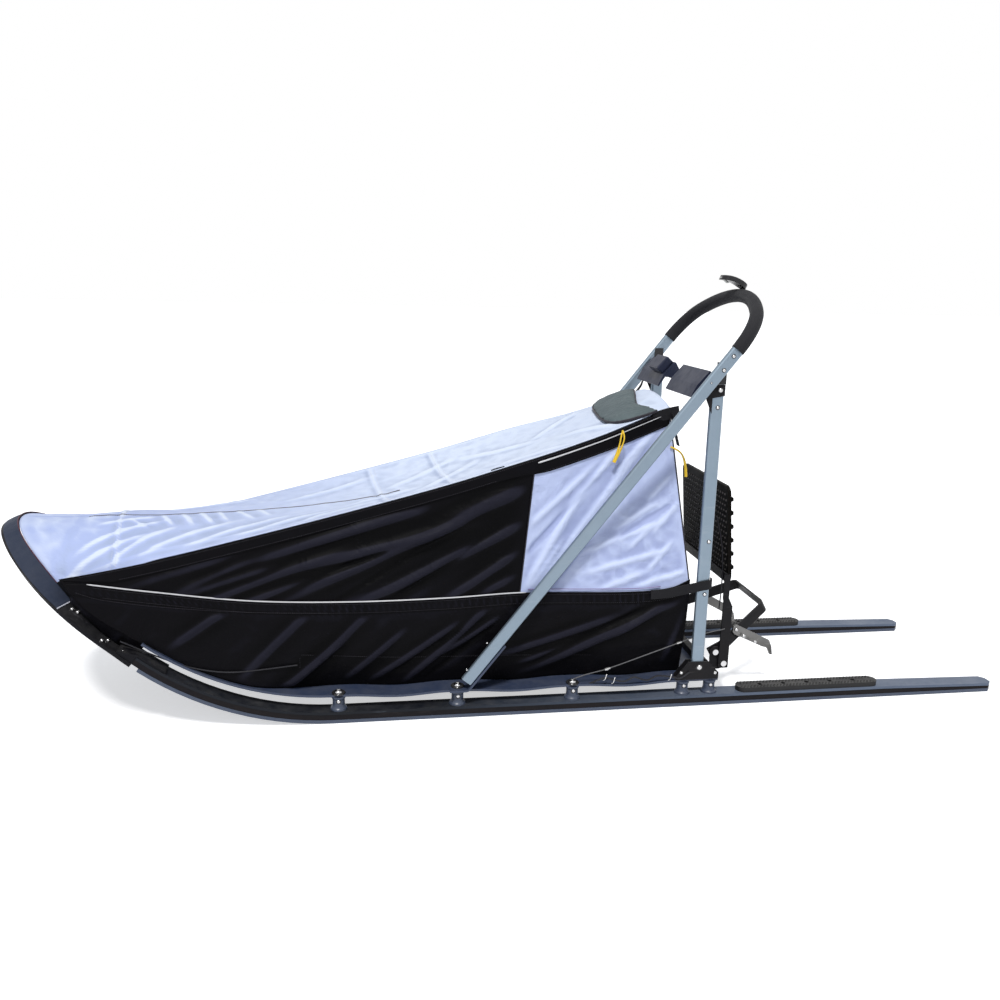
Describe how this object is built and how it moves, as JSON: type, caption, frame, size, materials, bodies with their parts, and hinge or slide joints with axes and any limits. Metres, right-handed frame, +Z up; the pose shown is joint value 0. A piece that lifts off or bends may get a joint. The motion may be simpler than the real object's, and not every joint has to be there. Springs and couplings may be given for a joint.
{
  "type": "dog sled",
  "caption": "Dog sled with flat runners, turned-up bow hoop, covered fabric cargo bag, leaning struts, foam-covered handle hoop, claw brake and drag mat.",
  "frame": {"origin": "middle of the sled on the ground, between the runners", "axes": "+X forward towards the bow, +Y the sled's left, +Z up"},
  "size_m": [2.6494, 0.5498, 1.1265],
  "materials": {
    "runner_shoe_plastic": "satin",
    "black_anodised": "satin",
    "runner_deck_plastic": "satin",
    "foot_pad_rubber": "studded",
    "riser_plastic": "satin",
    "bed_plastic": "satin",
    "tube_aluminium": "anodised",
    "bow_plastic": "satin",
    "bow_sleeve_fabric": "coated",
    "black_steel": "semi-gloss",
    "grip_foam": "foam",
    "black_plastic": "gloss",
    "bag_black_fabric": "coated weave",
    "bag_white_fabric": "coated weave",
    "flap_fabric": "padded",
    "dash_plastic": "satin",
    "steel_bright": "zinc plated",
    "claw_aluminium": "milled",
    "mat_rubber": "moulded"
  },
  "bodies": {
    "sled": {"runner_shoe_left": "runner_shoe_plastic", "runner_shoe_right": "runner_shoe_plastic", "runner_rail_left": "black_anodised", "runner_rail_right": "black_anodised", "runner_deck_left": "runner_deck_plastic", "runner_deck_right": "runner_deck_plastic", "foot_pads": "foot_pad_rubber", "risers": "riser_plastic", "bed_sheet": "bed_plastic", "cross_bars": "tube_aluminium", "bow_hoop": "bow_plastic", "bow_sleeve": "bow_sleeve_fabric", "bow_clamps": "bow_plastic", "strut_left": "tube_aluminium", "strut_right": "tube_aluminium", "upright_left": "tube_aluminium", "upright_right": "tube_aluminium", "strut_foot_straps": "bed_plastic", "upright_foot_brackets": "black_steel", "top_brackets": "black_steel", "handle_tube": "tube_aluminium", "handle_grip": "grip_foam", "handle_plate": "black_plastic", "bag_pocket_left": "bag_black_fabric", "bag_pocket_right": "bag_black_fabric", "bag_side_left": "bag_black_fabric", "bag_side_right": "bag_black_fabric", "bag_window_left": "bag_white_fabric", "bag_window_right": "bag_white_fabric", "bag_hems": "bag_black_fabric", "bag_cover": "bag_white_fabric", "bag_front": "bag_black_fabric", "bag_rear": "bag_black_fabric", "cover_flap": "flap_fabric", "dash_bar": "black_steel", "dash_plates": "dash_plastic", "dash_block": "dash_plastic", "dash_straps": "black_plastic", "rear_bar": "black_steel", "hinge_plates": "black_steel", "hinge_pins": "steel_bright"},
    "brake": {"brake_loop": "black_steel", "brake_claws": "claw_aluminium"},
    "mat": {"mat_frame": "black_steel", "drag_mat": "mat_rubber"}
  },
  "joints": [
    {"name": "brake_hinge", "type": "hinge", "parent": "sled", "child": "brake", "pos_m": [-0.52231, 0, 0.122], "axis": [0, -1, 0], "range_deg": [0, 34], "stiffness_Nm_per_rad": 6, "springref_deg": -28.65},
    {"name": "mat_hinge", "type": "hinge", "parent": "sled", "child": "mat", "pos_m": [-0.54531, 0, 0.091], "axis": [0, -1, 0], "range_deg": [0, 98], "stiffness_Nm_per_rad": 6, "springref_deg": -22.92}
  ]
}
